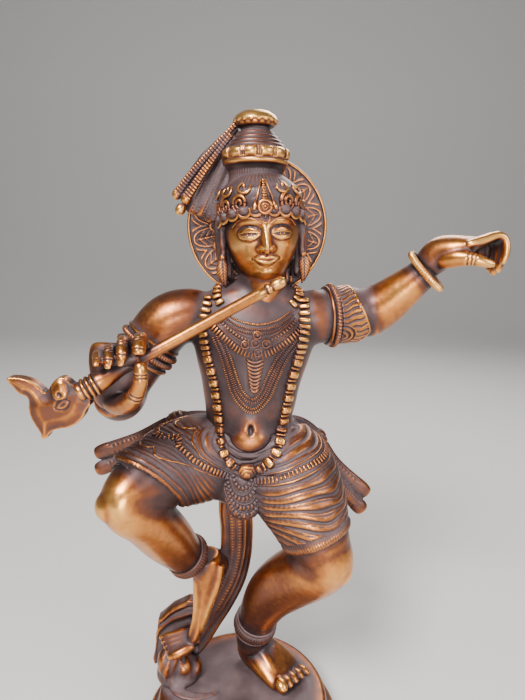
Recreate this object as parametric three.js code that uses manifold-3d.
// A dancing flute player cast in brass, standing on a round two-tier plinth.
// Millimetres, +X to the viewer's right, +Y away from the viewer, +Z up.
// The origin is the middle of the plinth's underside.
import * as THREE from "three";
import { mergeVertices } from "three/addons/utils/BufferGeometryUtils.js";
import Module from "manifold-3d";

const wasm = await Module();
wasm.setup();

// Plinth: an upper drum with a rounded edge on a wider foot.
const PLINTH_HEIGHT = 24;
const PLINTH_RADIUS = 47.5;
const PLINTH_EDGE = 4;
const FOOT_TIER_WIDER = 7;
const FOOT_TIER_HEIGHT = 10;
const RIM_LINE = 1.2;

// Figure: its pose and carving are drawn on a grid of 306 squares from the soles to the crown.
const FIGURE_HEIGHT = 306;
const GRID = 306;
const SQUARE = FIGURE_HEIGHT / GRID;

// Flute: a rod through the grip of one hand, with a flared end, a ringed socket and a bird's head.
const FLUTE_RADIUS = 2.4;
const FLUTE_FLARE = 4.4;
const FLUTE_RING = 1.1;
const FINIAL_THICK = 7;
const GRIP_CLEARANCE = 0.3;

// Air between the soles and the plinth.
const SEAT_GAP = 0.3;

// Facets smaller than this run together.
const FINEST = 0.5;

// Halo behind the head.
const HALO_RADIUS = 35.5;
const HALO_THICK = 3;
const HALO_RIM = 1.5;

const UP = new THREE.Vector3(0, 0, 1);
const AWAY = new THREE.Vector3(0, 1, 0);
const vec = (p) => new THREE.Vector3(p[0], p[1], p[2]);

// Share of a limb's length that its end ring stands in from the end.
const END_SHARE = 0.03;

// A closed geometry as a solid that faces outwards.
function solid(geometry) {
  geometry.deleteAttribute("normal");
  geometry.deleteAttribute("uv");
  const merged = mergeVertices(geometry, 1e-4);
  const vertProperties = merged.attributes.position.array;
  const triVerts = new Uint32Array(merged.index.array);
  const made = new wasm.Manifold(new wasm.Mesh({ numProp: 3, vertProperties, triVerts }));
  if (made.volume() >= 0) return made;
  for (let i = 0; i < triVerts.length; i += 3) {
    [triVerts[i + 1], triVerts[i + 2]] = [triVerts[i + 2], triVerts[i + 1]];
  }
  return new wasm.Manifold(new wasm.Mesh({ numProp: 3, vertProperties, triVerts }));
}

// A solid as a geometry that three.js can show or cast rays at.
function geometryOf(made) {
  const mesh = made.getMesh();
  const position = new Float32Array(mesh.numVert * 3);
  for (let i = 0; i < mesh.numVert; i++) {
    position.set(mesh.vertProperties.subarray(i * mesh.numProp, i * mesh.numProp + 3), i * 3);
  }
  return new THREE.BufferGeometry()
    .setAttribute("position", new THREE.BufferAttribute(position, 3))
    .setIndex(new THREE.BufferAttribute(mesh.triVerts, 1));
}

const join = (list) => wasm.Manifold.union(list);

// The point, direction and half widths at share t of a run of rows [x, y, z, half width, half depth].
function along(rows, t) {
  const path = new THREE.CatmullRomCurve3(rows.map(vec), false, "catmullrom", 0.5);
  const widths = new THREE.CatmullRomCurve3(
    rows.map((r) => new THREE.Vector3(r[3], r[4] ?? r[3], 0)), false, "catmullrom", 0.5);
  const size = widths.getPoint(t);
  return { at: path.getPoint(t), way: path.getTangent(t), wide: size.x, deep: size.y };
}

// A blunt-ended body along a run of rows. The half depth lies along the deep direction, the half width
// across it. tip is the size of the end rings, and relief scales the section at share t.
function limb(rows, { sides = 7, rings = 6, deep = AWAY, tip = 0.72, relief = () => 1 } = {}) {
  const made = new THREE.SphereGeometry(1, sides, rings);
  const place = made.attributes.position;
  for (let i = 0; i < place.count; i++) {
    const polar = Math.acos(THREE.MathUtils.clamp(place.getY(i), -1, 1));
    const a = Math.atan2(place.getZ(i), place.getX(i));
    const ring = Math.round(polar / Math.PI * rings);
    const pole = ring === 0 || ring === rings;
    const end = ring === 1 || ring === rings - 1;
    const even = (ring - 1) / (rings - 2);
    const t = pole ? ring / rings : THREE.MathUtils.clamp(even, END_SHARE, 1 - END_SHARE);
    const scale = pole ? 0 : (end ? tip : 1) * relief(t);
    const s = along(rows, t);
    const back = deep.clone().addScaledVector(s.way, -deep.dot(s.way)).normalize();
    const side = new THREE.Vector3().crossVectors(s.way, back);
    const p = s.at
      .addScaledVector(side, s.wide * scale * Math.cos(a))
      .addScaledVector(back, s.deep * scale * Math.sin(a));
    place.setXYZ(i, p.x, p.y, p.z);
  }
  return solid(made);
}

// An ellipsoid with half sizes r at a point, turned so that its own Z follows way.
function ball(at, r, way = UP, sides = 7, rings = 4) {
  const made = new THREE.SphereGeometry(1, sides, rings);
  made.rotateX(Math.PI / 2);
  made.scale(r[0], r[1], r[2]);
  made.applyQuaternion(new THREE.Quaternion().setFromUnitVectors(UP, vec(way.toArray()).normalize()));
  made.translate(at[0], at[1], at[2]);
  return solid(made);
}

// A ring round a limb at share t, standing out by lift, with its own thickness along the limb.
function hoop(rows, t, lift, thick, deep = AWAY, sides = 9) {
  const s = along(rows, t);
  const back = deep.clone().addScaledVector(s.way, -deep.dot(s.way)).normalize();
  const side = new THREE.Vector3().crossVectors(s.way, back);
  const made = new THREE.TorusGeometry(1, 1, 3, sides);
  const place = made.attributes.position;
  const tube = made.parameters.radialSegments;
  for (let i = 0; i < place.count; i++) {
    const b = ((i / (sides + 1)) | 0) / tube * 2 * Math.PI;
    const a = (i % (sides + 1)) / sides * 2 * Math.PI;
    const out = lift * Math.cos(b);
    const p = s.at.clone()
      .addScaledVector(side, (s.wide + out) * Math.cos(a))
      .addScaledVector(back, (s.deep + out) * Math.sin(a))
      .addScaledVector(s.way, thick * Math.sin(b));
    place.setXYZ(i, p.x, p.y, p.z);
  }
  return solid(made);
}

// A cord of even thickness along a run of points.
function cord(points, thick, { sides = 5, rings = 9, deep = AWAY } = {}) {
  return limb(points.map((p) => [p[0], p[1], p[2], thick, thick]), { sides, rings, deep });
}

// A turned solid: the profile is pairs of radius and height, turned about the Z axis.
function turned(profile, sides = 24) {
  const points = profile.map(([r, z]) => new THREE.Vector2(r, z));
  const made = new THREE.LatheGeometry(points, sides);
  made.rotateX(Math.PI / 2);
  return solid(made);
}

// The plinth.

function makePlinth() {
  const wide = PLINTH_RADIUS + FOOT_TIER_WIDER;
  const profile = [[0, 0], [wide, 0], [wide, FOOT_TIER_HEIGHT - 2]];
  profile.push([wide - 2, FOOT_TIER_HEIGHT], [PLINTH_RADIUS - 0.5, FOOT_TIER_HEIGHT]);
  profile.push([PLINTH_RADIUS - 0.5, PLINTH_HEIGHT - PLINTH_EDGE - RIM_LINE]);
  profile.push([PLINTH_RADIUS, PLINTH_HEIGHT - PLINTH_EDGE - RIM_LINE]);
  for (let i = 0; i <= 2; i++) {
    const a = i / 2 * Math.PI / 2;
    profile.push([
      PLINTH_RADIUS - PLINTH_EDGE * (1 - Math.cos(a)),
      PLINTH_HEIGHT - PLINTH_EDGE * (1 - Math.sin(a)),
    ]);
  }
  profile.push([0, PLINTH_HEIGHT]);
  return turned(profile, 24);
}

// The trunk: rows of x, y, z, half width and half depth on the grid.

const TORSO = [
  [0.0, 1, 156, 23.5, 18.0], [-0.1, 0, 162, 21.7, 17.4], [0.7, -1, 172, 22.9, 17.2],
  [1.0, -1, 182, 24.5, 17.2], [1.3, -1, 192, 27.2, 17.6], [1.7, 0, 202, 29.6, 18.0],
  [2.2, 1, 211, 29.6, 16.6], [3.2, 1, 219, 26.0, 13.8], [5.0, 1, 226, 15.0, 11.5],
];
const HIPS = [
  [0.0, 0, 166, 20.5, 16.5], [0.2, 1, 157, 26.5, 19.5], [-0.3, 2, 147, 30.6, 21.0],
  [-1.0, 2, 136, 31.0, 21.0], [-1.5, 2, 126, 26.5, 18.5], [-2.0, 3, 116, 14.0, 12.0],
];
const NECK = [[4.6, 1, 216, 14, 13], [5.2, 1, 225, 11.6, 11.2], [5.4, 0, 236, 11, 11.5]];
const SHOULDERS = [
  [-26, 1, 213, 7, 10], [-11, 1, 220, 8, 11], [5, 1, 223, 9, 11], [20, 1, 219, 8, 11], [31, 1, 214, 8, 10],
];
const BELLY = [[1, -7, 166, 12, 8], [1, -7, 158, 16, 12.5], [1, -6, 150, 17.5, 13.5], [1, -5, 144, 14, 12]];

// The limbs, in the same rows.

const UPPER_ARM_LEFT = [
  [-19, 1, 214, 10, 11], [-29.3, 1, 213.5, 12.6, 13], [-39.5, 0, 209.5, 13.6, 13.6],
  [-48.2, -1, 199.0, 13.2, 13], [-55.6, -3, 186.9, 12.2, 12], [-60.5, -5, 175.5, 10.6, 11],
];
const FOREARM_LEFT = [
  [-60.8, -1, 175.0, 11.2, 11.5], [-60.4, -14, 174.6, 11, 10.6],
  [-58.9, -27, 177.6, 8.6, 8.6], [-57.5, -38, 181.5, 7.6, 7.6],
];
const PALM_LEFT = [
  [-57.6, -38, 180.6, 7.4, 6.4], [-55.2, -42, 187.5, 9.6, 5.2],
  [-53.2, -42, 196.5, 12.0, 5.0], [-52.8, -40, 206.5, 12.4, 4.2],
];
const FINGERS_LEFT = [
  [[-43.6, -39, 198.0, 2.9], [-43.2, -44, 209.6, 2.9], [-42.4, -51, 211.4, 2.7],
    [-41.6, -56, 208.0, 2.6], [-41.9, -57, 202.4, 2.1]],
  [[-49.6, -39, 197.6, 2.9], [-50.2, -44, 208.8, 2.9], [-49.0, -52, 210.2, 2.7],
    [-48.0, -57, 205.8, 2.6], [-48.4, -57.4, 199.6, 2.1]],
  [[-56.0, -39, 196.4, 2.8], [-56.4, -44, 206.0, 2.7], [-54.8, -52, 206.6, 2.6],
    [-53.6, -57, 203.0, 2.4], [-53.9, -57.6, 197.6, 1.9]],
  [[-61.2, -39, 194.4, 2.7], [-62.0, -44, 202.8, 2.5], [-60.2, -51, 203.2, 2.3],
    [-58.2, -59.4, 200.6, 2.2], [-57.8, -60.4, 196.0, 1.8]],
];
const THUMB_LEFT = [
  [-60.0, -40, 178.6, 4.2], [-52.0, -46, 180.6, 4.0], [-44.6, -52, 187.4, 3.3],
  [-40.8, -56, 195.4, 3.1], [-40.0, -57, 201.4, 2.5],
];
const UPPER_ARM_RIGHT = [
  [20, 1, 212, 11.5, 12], [30, 1, 213.6, 13, 13.4], [41.5, 3, 214.4, 12.9, 13],
  [50.5, 5, 215.3, 12.9, 13], [57.5, 7, 216.0, 11.6, 12],
];
const FOREARM_RIGHT = [
  [52.5, 5, 214.2, 12.0, 12], [58.5, 6, 216.4, 12.4, 12.4], [65.5, 3, 221.0, 11.0, 11.2],
  [72.2, -1, 227.8, 9.2, 9.4], [77.6, -4, 233.4, 7.8, 8], [82.4, -6, 238.2, 6.8, 7],
];
const PALM_RIGHT = [
  [81.4, -6, 237.4, 6.4, 6.4], [86.0, -8, 242.0, 6.6, 7], [91.6, -10, 245.8, 6.6, 8.4],
  [97.6, -12, 248.6, 5.4, 9.4], [102.0, -13, 250.6, 3.8, 9.4],
];
const FINGER_RIGHT = [
  [96.0, -12, 250.0, 3.0], [103.4, -13, 253.2, 2.9], [109.2, -14, 254.4, 2.7],
  [112.8, -15, 251.4, 2.6], [114.2, -15, 245.6, 2.3], [113.2, -15, 239.0, 1.8],
];
const THUMB_RIGHT = [
  [88.0, -15, 241.6, 4.2], [94.0, -21, 244.4, 3.4], [98.8, -23.5, 245.0, 2.8],
  [102.4, -24, 243.4, 2.4], [104.6, -24, 240.6, 1.8],
];
const THIGH_LEFT = [
  [-14, 2, 143, 20, 19], [-24.5, -4, 141, 21.5, 20], [-36.0, -12, 140.2, 19.6, 18.6],
  [-45.0, -21, 139.6, 16.8, 16.6], [-52.6, -29, 138.6, 14.4, 14.6], [-58.6, -35, 137.2, 11.0, 12],
];
const CALF_LEFT = [
  [-59.6, -34, 138.6, 10.5, 10.5], [-53.6, -32, 131.4, 14.0, 13.5], [-46.6, -24, 118.4, 15.0, 14],
  [-39.6, -12, 101.6, 13.2, 12.6], [-33.4, -1, 86.4, 10.6, 10.4], [-27.6, 6, 77.6, 9.4, 9.4],
];
const FOOT_LEFT = [
  [-23.0, 8, 80.0, 10.2, 9.4], [-21.4, 10, 68.4, 9.2, 8.6], [-22.8, 10, 54.0, 7.8, 6.8],
  [-26.4, 9, 41.0, 7.2, 5.6], [-29.6, 8, 30.8, 6.4, 4.6], [-32.0, 7, 25.4, 5.0, 3.6],
];
const THIGH_RIGHT = [
  [12, 2, 146, 20, 19], [21.0, -6, 134.6, 22.6, 20.6], [28.0, -12, 123.6, 20.4, 19.4],
  [33.4, -17, 112.6, 17.0, 17.0], [38.2, -20, 103.6, 14.2, 15.0], [42.0, -21, 96.4, 11.4, 12.4],
];
const CALF_RIGHT = [
  [44.8, -21, 99.0, 12.0, 12], [37.8, -17, 91.8, 14.6, 14], [25.6, -6, 76.4, 15.4, 14.2],
  [15.4, 5, 59.6, 14.2, 13.4], [9.0, 13, 42.0, 11.8, 11.4], [5.4, 18, 26.4, 10.4, 10.4],
  [4.6, 20, 14.0, 9.6, 10.4],
];
const FOOT_RIGHT = [
  [1.0, 29, 6.0, 7.6, 8.0], [6.0, 22, 8.6, 10.2, 10.0], [14.0, 15, 8.0, 12.4, 8.0],
  [22.0, 9, 5.2, 13.2, 5.6], [27.0, 6, 3.2, 12.4, 3.8],
];

// Rib after rib along a limb: share t of its length between from and to, count ribs, each out by high.
const ribs = (from, to, count, high) => (t) =>
  t < from || t > to ? 1 : 1 + high * Math.abs(Math.sin((t - from) / (to - from) * count * Math.PI));

// Five toes that fan out from one row of knuckles to one row of tips.
function toes(knuckles, tips, thick, deep) {
  const made = [];
  for (let i = 0; i < 5; i++) {
    const s = i / 4;
    const from = vec(knuckles[0]).lerp(vec(knuckles[1]), s);
    const to = vec(tips[0]).lerp(vec(tips[1]), s);
    const r = thick * (i === 0 ? 1.25 : 1 - 0.08 * i);
    const mid = from.clone().lerp(to, 0.6).addScaledVector(deep, 0.5 * r);
    made.push(limb([[...from, r, r], [...mid, r, r], [...to, 0.85 * r, 0.8 * r]],
      { sides: 5, rings: 3, deep }));
  }
  return made;
}

function makeLimbs() {
  const made = [
    limb(UPPER_ARM_LEFT),
    limb(FOREARM_LEFT, { deep: UP, rings: 5 }),
    limb(PALM_LEFT, { rings: 5 }),
    limb(THUMB_LEFT, { deep: UP, sides: 5, rings: 5 }),
    limb(UPPER_ARM_RIGHT, { rings: 5 }),
    limb(FOREARM_RIGHT, { rings: 7 }),
    limb(PALM_RIGHT, { rings: 5 }),
    limb(THUMB_RIGHT, { deep: UP, sides: 5, rings: 5 }),
    limb(THIGH_LEFT, { sides: 9, rings: 12, relief: ribs(0.16, 0.66, 4, 0.05) }),
    limb(CALF_LEFT, { sides: 8 }),
    limb(FOOT_LEFT, { sides: 8, rings: 6 }),
    limb(THIGH_RIGHT, { sides: 9, rings: 12, relief: ribs(0.14, 0.72, 4, 0.06) }),
    limb(CALF_RIGHT, { sides: 8, rings: 7 }),
    limb(FOOT_RIGHT, { deep: UP, sides: 8, rings: 6 }),
    ball([-17.0, 13, 71.0], [8.0, 8.0, 9.4]),
  ];
  for (const finger of FINGERS_LEFT) made.push(limb(finger, { deep: UP, sides: 5, rings: 4 }));
  for (let i = 0; i < 4; i++) {
    const y = (i - 1.5) * 4.7;
    const short = [0.6, 0, 0.6, 2.6][i];
    const finger = FINGER_RIGHT.map(([px, py, pz, r], k) => [px - short * k / 5, py + y, pz, r, r]);
    made.push(limb(finger, { sides: 5, rings: 5 }));
  }
  made.push(...toes([[15, 5, 3.6], [27, 12.5, 3.4]], [[19.5, -4.5, 2.6], [39, 11, 2.2]], 3.0, UP));
  made.push(...toes([[-30, 3, 26.5], [-30, 13, 27.0]], [[-38, 3.5, 19.5], [-37, 13, 20.5]], 2.6, AWAY));
  return made;
}

// The head, the hat and the halo.

const HEAD_AT = [4.4, -1, 255.5];
const HEAD_TILT = -3.8;
const HEAD_HALF = [17.4, 19.4, 24.8];
const EYE_LINE = -1.5;
const THIRD = 12.4;

// Moves a solid made round the middle of the head to its place, tilted sideways.
const onHead = (made) => made.rotate([0, HEAD_TILT, 0]).translate(HEAD_AT);

// The face's own front at x and z, measured from the middle of the head.
function faceFront(x, z) {
  const side = x / HEAD_HALF[0];
  const high = z / HEAD_HALF[2];
  return -HEAD_HALF[1] * Math.sqrt(Math.max(0, 1 - side * side - high * high));
}

function makeFace() {
  const browZ = EYE_LINE + 4;
  const noseZ = browZ - THIRD;
  const mouthZ = noseZ - THIRD / 3;
  const skull = limb(
    [[0, 0, 25, 10, 11], [0, 0, 16, 16.6, 18.6], [0, 0, 6, 17.6, 19.4], [0, 0, -4, 17.2, 19.0],
      [0, -1, -13, 14.6, 17.2], [0, -3, -20, 10.4, 13.4], [0, -5, -25.5, 6.0, 8.4]],
    { sides: 9, rings: 7 });
  const made = [skull];
  const tip = faceFront(0, noseZ) - 4.6;
  made.push(limb([
    [0, faceFront(0, browZ), browZ, 1.4, 1.6],
    [0, faceFront(0, noseZ + 5) - 2, noseZ + 5, 1.8, 2.2],
    [0, tip + 2.2, noseZ + 1, 2.6, 2.6],
  ], { sides: 6, rings: 5 }));
  for (const s of [-1, 1]) {
    made.push(ball([s * 2.4, tip + 3.6, noseZ + 1], [1.9, 2.2, 1.8], UP, 6, 4));
    made.push(ball([s * 7.4, faceFront(7.4, EYE_LINE) + 1.0, EYE_LINE], [4.8, 2.2, 2.5], UP, 7, 4));
    made.push(cord([
      [s * 2.6, faceFront(2.6, browZ) - 0.2, browZ],
      [s * 7.6, faceFront(7.6, browZ + 1.6), browZ + 1.6],
      [s * 13.0, faceFront(13.0, browZ - 0.6) - 0.2, browZ - 0.6],
    ], 1.0, { sides: 4, rings: 4 }));
    made.push(ball([s * 17.6, 2, -5.5], [2.2, 4.4, 10.5], UP, 6, 5));
    made.push(ball([s * 19.0, 0, -19.5], [2.4, 3.2, 6.6], UP, 6, 5));
  }
  made.push(ball([0, faceFront(0, mouthZ) + 0.3, mouthZ + 1.0], [4.8, 1.9, 1.3], UP, 8, 4));
  made.push(ball([0, faceFront(0, mouthZ - 2) + 0.2, mouthZ - 1.4], [3.9, 2.0, 1.5], UP, 8, 4));
  made.push(ball([0, -14.4, -22.4], [5.2, 4.4, 3.8], UP, 8, 4));
  return made;
}

function makeHair() {
  const made = [limb(
    [[0, 1, 27, 12, 12], [0, 1, 19, 19.4, 20.4], [0, 2, 9, 20.0, 20.4], [0, 5, -4, 19.0, 17.4],
      [0, 8, -18, 14.0, 12.0]], { sides: 9, rings: 5 })];
  for (let i = 0; i < 5; i++) {
    const a = THREE.MathUtils.degToRad(-64 + i * 128 / 4);
    const at = [19.4 * Math.sin(a), 1 - 20.2 * Math.cos(a), 13.5 + 2.4 * Math.cos(a)];
    made.push(ball(at, [4.6, 4.4, 1.8], new THREE.Vector3(Math.sin(a), -Math.cos(a), 0.2), 6, 3));
  }
  made.push(ball([0, -20.6, 9.2], [3.2, 2.4, 3.4], UP, 6, 4));
  made.push(ball([0, -19.4, 18], [2.2, 2.4, 7.4], UP, 5, 4));
  return made;
}

const HAT_AT = [1.4, 4, 268];
const HAT = [
  [0, -4], [16.0, -1], [15.2, 7], [13.6, 11], [13.8, 16], [16.4, 19], [16.4, 24],
  [14.2, 26], [11.4, 28.4], [7.8, 31.6], [10.4, 34], [9.6, 37], [0, 40.2],
];
const PLUME = [
  [-8.0, 7, 297.0, 3.4, 3.0], [-17.0, 9, 291.4, 6.0, 3.6], [-24.0, 9, 283.0, 8.0, 3.8],
  [-28.0, 9, 273.6, 9.2, 3.8], [-30.4, 9, 265.6, 8.4, 3.4],
];
const PLUME_ROPES = [
  [[-6, 3, 301], [-20, 5, 291], [-36.5, 6, 270]],
  [[-7, 3, 298], [-19, 4, 288], [-35.5, 5, 266.4]],
  [[-8, 4, 294], [-19, 4.6, 284.6], [-33.5, 5, 262.6]],
];
const HALO_AT = [2, 21.5, 256];

function makeHead() {
  const made = [...makeFace(), ...makeHair()].map(onHead);
  made.push(turned(HAT, 12).rotate([0, -1.4, 0]).translate(HAT_AT));
  made.push(limb(PLUME, { sides: 5, rings: 5 }));
  for (const rope of PLUME_ROPES) {
    const half = [1.6, 1.6, 2.8];
    made.push(limb(rope.map((p, i) => [...p, half[i], half[i]]), { sides: 4, rings: 4 }));
  }
  return made;
}

function makeHalo() {
  const r = HALO_RADIUS / SQUARE;
  const half = HALO_THICK / SQUARE / 2;
  const rim = HALO_RIM / SQUARE;
  const profile = [[0, -half], [r - 2 * rim, -half], [r - rim, -half - rim], [r, 0]];
  profile.push([r - rim, half + rim], [r - 2 * rim, half], [0, half]);
  return turned(profile, 18).rotate([90, 0, 0]).translate(HALO_AT);
}

// The ornaments.

const GARLAND = [
  [6, 15, 224], [-8, 14, 228], [-17.5, 3, 229], [-19.6, -13, 223], [-21.0, -15, 212],
  [-19.6, -17, 200], [-16.6, -18, 188], [-14.3, -18, 176], [-12.8, -19, 164],
  [-11.4, -22, 155.5], [-7.6, -24, 149], [0.6, -26, 145], [9.4, -24, 151], [13.8, -22, 157.5],
  [16.8, -19, 165], [18.6, -18, 176], [20.4, -18, 187], [23.6, -17, 199.6], [25.4, -15, 212],
  [25.0, -13, 224], [21.5, 3, 229], [16, 13, 228],
];
const SASHES = [
  [[-18, 11, 157, 4.4, 3.4], [-31, 15, 155, 4.6, 3.4], [-43, 18, 150, 5.2, 3.4],
    [-61, 22, 140, 4.4, 3], [-86, 26, 129.4, 4.4, 3.6]],
  [[-18, 12, 152, 4.4, 3.4], [-32, 17, 151, 4.6, 3.4], [-48, 20, 142, 4.6, 3.2],
    [-66, 24, 130, 4.2, 3], [-86, 26, 119.4, 4.4, 3.6]],
  [[17, 10, 157, 4.0, 3.4], [27, 14, 154, 4.2, 3.4], [36, 17, 146, 4.4, 3.4],
    [48, 20, 129, 4.0, 3.2], [67, 22, 111, 4.8, 3.6]],
  [[18, 11, 148, 4.0, 3.4], [33, 15, 144, 4.2, 3.4], [42, 17, 130, 4.0, 3.4],
    [53, 19, 115, 4.0, 3.2], [65, 20, 102, 4.6, 3.6]],
];
const CLOTH_BAND = [
  [-1.5, 6, 124, 9.6, 4.0], [-4.6, 8, 110, 9.6, 3.6], [-4.2, 11, 94, 9.2, 3.4], [-5.4, 14, 78, 9.0, 3.4],
  [-9.4, 17, 61, 9.4, 3.6], [-16.4, 20, 44, 10.0, 4.0], [-24.0, 22, 30, 10.6, 4.4],
  [-32.0, 22, 18, 12.0, 5.0], [-40.0, 19, 9, 12.0, 6.0],
];
const BELT = [
  [-29.5, 12, 159], [-31.5, -2, 154], [-25, -14, 147], [-14, -20, 139], [0, -22, 133],
  [14, -20, 138], [25, -14, 145], [31.5, -2, 151], [29.5, 12, 156],
];

// Half the width of a garland bead, the share of it left between two beads, and the beads round the loop.
const BEAD_HALF = 3.6;
const BETWEEN_BEADS = 0.62;
const BEADS = 20;

// Pleats of the fan at the foot of the cloth band, and half the width of one.
const PLEATS = 5;
const PLEAT_HALF = 3.2;

function makeOrnaments(bare) {
  const target = new THREE.Mesh(geometryOf(bare), new THREE.MeshStandardMaterial({ side: THREE.DoubleSide }));
  target.updateMatrixWorld();
  const seen = new THREE.Raycaster();
  // The front of the bare body at x and z, or the given depth where nothing is hit.
  const front = (x, z, otherwise) => {
    seen.set(new THREE.Vector3(x, -200, z), AWAY);
    const hit = seen.intersectObject(target)[0];
    return hit && Math.abs(hit.point.y - otherwise) < 12 ? hit.point.y : otherwise;
  };
  const made = [];
  const loop = new THREE.CatmullRomCurve3(GARLAND.map(vec), true, "centripetal");
  // The garland is one string of beads, swelling at each bead and thin between them.
  const strung = [];
  for (let i = 0; i < BEADS; i++) {
    const p = loop.getPointAt(i / BEADS);
    if (p.y < -12) p.y = front(p.x, p.z, p.y) - 0.8;
    strung.push(p);
  }
  const thread = new THREE.CatmullRomCurve3(strung, true, "centripetal");
  const string = new THREE.TubeGeometry(thread, 2 * BEADS, BEAD_HALF, 4, true);
  const place = string.attributes.position;
  for (let i = 0; i < place.count; i++) {
    const ring = Math.floor(i / 5);
    const centre = thread.getPointAt((ring % (2 * BEADS)) / (2 * BEADS));
    const at = new THREE.Vector3().fromBufferAttribute(place, i).sub(centre);
    if (ring % 2) at.multiplyScalar(BETWEEN_BEADS);
    place.setXYZ(i, ...at.add(centre));
  }
  made.push(solid(string));
  const drop = new THREE.CylinderGeometry(5.2, 6.2, 5, 6);
  drop.translate(0.5, front(0.5, 144, -22) - 1.2, 143.5);
  made.push(solid(drop));
  const run = (points, thick, rings) =>
    cord(points.map(([x, z]) => [x, front(x, z, -17) - 0.3 * thick, z]), thick, { sides: 4, rings });
  made.push(run([[-13, 212], [-4, 206.5], [4, 204], [13, 206.5], [23, 213]], 2.2, 8));
  made.push(run([[-15, 207], [-9, 197], [-5, 185], [2, 178], [9, 185], [14, 198], [20, 206]], 1.8, 10));
  made.push(ball([2.4, front(2.6, 195, -18) + 0.6, 195], [4.6, 2.0, 8.6], UP, 6, 5));
  made.push(cord(BELT, 2.6, { sides: 4, rings: 9 }));
  made.push(limb([[0, -17, 138, 10, 5], [-1, -17, 126, 9, 5], [-2, -12, 116, 7, 5]], { rings: 5 }));
  for (const sash of SASHES) {
    made.push(limb(sash, { sides: 4, rings: 5 }));
  }
  made.push(ball([-37, 17, 153], [8, 6, 6]));
  made.push(ball([37, 17, 143], [6, 6, 8]));
  made.push(limb(CLOTH_BAND, { sides: 7, rings: 8 }));
  made.push(ball([-37, 13, 2], [13.5, 14, 9], UP, 8, 4));
  made.push(ball([-37.5, 7, 7.5], [6.6, 6.0, 11]));
  // The fan: pleats side by side from the mound up to a slanting hem.
  for (let i = 0; i < PLEATS; i++) {
    const s = i / (PLEATS - 1);
    const foot = [-45 + 13 * s, 19, 4];
    const middle = [-47 + 15 * s, 22, 20 + 4 * s];
    const hem = [-49 + 17 * s, 24, 34 + 11 * Math.sqrt(s)];
    const pleat = [foot, middle, hem].map((at) => [...at, PLEAT_HALF, PLEAT_HALF]);
    made.push(limb(pleat, { sides: 4, rings: 3 }));
  }
  made.push(hoop(CALF_LEFT, 0.88, 2.4, 3.6), hoop(CALF_RIGHT, 0.8, 2.4, 3.0));
  made.push(hoop(UPPER_ARM_RIGHT, 0.5, 1.9, 2.4));
  made.push(limb([[44, 3.4, 214.6, 14.4, 14.2], [50, 5, 215.4, 14.4, 14.2], [56, 6.2, 216.2, 13.2, 13.2]],
    { sides: 9, rings: 5 }));
  made.push(hoop(UPPER_ARM_LEFT, 0.62, 1.8, 3.2));
  made.push(hoop(FOREARM_RIGHT, 0.93, 3.4, 1.9));
  made.push(hoop(FOREARM_LEFT, 0.86, 2.2, 1.8, UP));
  return made;
}

// The flute.

const FLUTE_MOUTH = [15.1, -31, 233.4];
const FLUTE_SOCKET = [-61.6, -55.8, 191.2];
const FLARE_FROM = 0.82;

// A place on the figure's grid in millimetres from the plinth's underside.
const inPlace = (p) => vec(p).multiplyScalar(SQUARE).add(new THREE.Vector3(0, 0, PLINTH_HEIGHT + SEAT_GAP));

// The rod, or with extra the room that it needs.
function makeRod(extra) {
  const from = inPlace(FLUTE_MOUTH);
  const to = inPlace(FLUTE_SOCKET);
  const length = from.distanceTo(to);
  const profile = [[0, -extra], [FLUTE_RADIUS - 0.8 + extra, -extra], [FLUTE_RADIUS + extra, 1]];
  if (!extra) {
    for (const z of [6, 9]) {
      profile.push([FLUTE_RADIUS, z], [FLUTE_RADIUS - 0.5, z + 0.6], [FLUTE_RADIUS, z + 1.2]);
    }
  }
  profile.push([FLUTE_RADIUS + extra, length * FLARE_FROM]);
  profile.push([(FLUTE_RADIUS + FLUTE_FLARE) / 2 + extra, length - 8], [FLUTE_FLARE + extra, length - 5]);
  if (extra) profile.push([FLUTE_FLARE + FLUTE_RING + extra, length - 5]);
  if (!extra) {
    for (let i = 0; i < 3; i++) {
      const z = length - 4 + 2 * i;
      profile.push([FLUTE_FLARE, z], [FLUTE_FLARE + FLUTE_RING, z + 1]);
    }
  }
  const end = FLUTE_FLARE + (extra ? FLUTE_RING + extra : 0);
  profile.push([end, length + 2], [end, length + 4], [0, length + 4]);
  const made = new THREE.LatheGeometry(profile.map(([r, z]) => new THREE.Vector2(r, z)), 8);
  const way = to.clone().sub(from).normalize();
  made.applyQuaternion(new THREE.Quaternion().setFromUnitVectors(new THREE.Vector3(0, 1, 0), way));
  made.translate(from.x, from.y, from.z);
  return solid(made);
}

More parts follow.
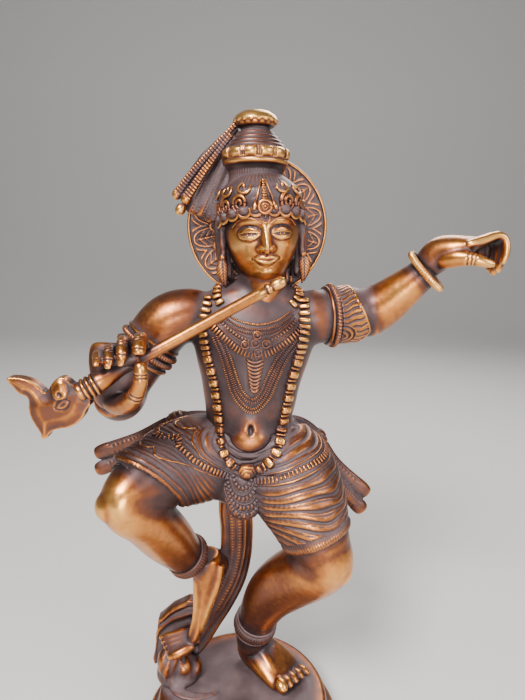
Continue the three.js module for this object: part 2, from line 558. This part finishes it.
// The bird's head as its outline seen from the front: x and z on the figure's grid.
const BIRD = [
  [-61.5, 184.5], [-65, 178], [-70, 175.4], [-75.4, 174.6], [-78.2, 170.8], [-80.6, 170.2],
  [-81.8, 174.6], [-84.6, 180.4], [-85.4, 186.4], [-87.4, 189.2], [-92.8, 191.4], [-93.4, 195.0],
  [-88.6, 195.2], [-83.4, 192.2], [-79.4, 188.6], [-77.2, 189.6], [-75.6, 194.2], [-72.4, 195.4],
  [-69.4, 194.4], [-68.0, 191.8], [-64.0, 193.4],
];

function makeBird() {
  const outline = new THREE.SplineCurve(BIRD.map(([x, z]) => new THREE.Vector2(x, z)));
  outline.points.push(outline.points[0].clone());
  const shape = new THREE.Shape(outline.getPoints(24).slice(0, -1));
  const bevel = 0.9;
  const thick = FINIAL_THICK / SQUARE - 2 * bevel;
  const made = new THREE.ExtrudeGeometry(shape, {
    depth: thick,
    bevelThickness: bevel,
    bevelSize: bevel,
    bevelOffset: -bevel,
    bevelSegments: 1,
  });
  made.rotateX(Math.PI / 2);
  made.translate(0, -55.5 + thick / 2, 0);
  const eye = ball([-74, -55.5 - FINIAL_THICK / SQUARE / 2, 183.6], [3.2, 1.0, 2.2], UP, 10, 6);
  return join([solid(made), eye]).scale(SQUARE).translate([0, 0, PLINTH_HEIGHT + SEAT_GAP]);
}

// The three pieces.

function makeFigure() {
  const bare = join([
    limb(TORSO, { sides: 11, rings: 7 }),
    limb(HIPS, { sides: 11, rings: 6 }),
    limb(NECK, { rings: 4 }),
    limb(SHOULDERS),
    limb(BELLY, { sides: 8, rings: 5 }),
    ...makeLimbs(),
  ]);
  const all = join([bare, ...makeHead(), makeHalo(), ...makeOrnaments(bare)]);
  const below = new THREE.BoxGeometry(400, 400, 40);
  below.translate(0, 0, -20);
  const cast = all.subtract(solid(below))
    .scale(SQUARE)
    .translate([0, 0, PLINTH_HEIGHT + SEAT_GAP])
    .subtract(makeRod(GRIP_CLEARANCE))
    .simplify(FINEST);
  // Pockets left closed between the joined forms are filled.
  return cast.decompose().sort((a, b) => b.volume() - a.volume())[0];
}

function named(name, made, color) {
  const material = new THREE.MeshStandardMaterial({ color, metalness: 1, roughness: 0.4 });
  const mesh = new THREE.Mesh(geometryOf(made), material);
  mesh.name = name;
  return mesh;
}

const part = new THREE.Group();
part.add(
  named("figure", makeFigure(), 0x8a5a2c),
  named("flute", join([makeRod(0), makeBird()]), 0xb98a45),
  named("plinth", makePlinth(), 0x5a4236),
);

export default part;
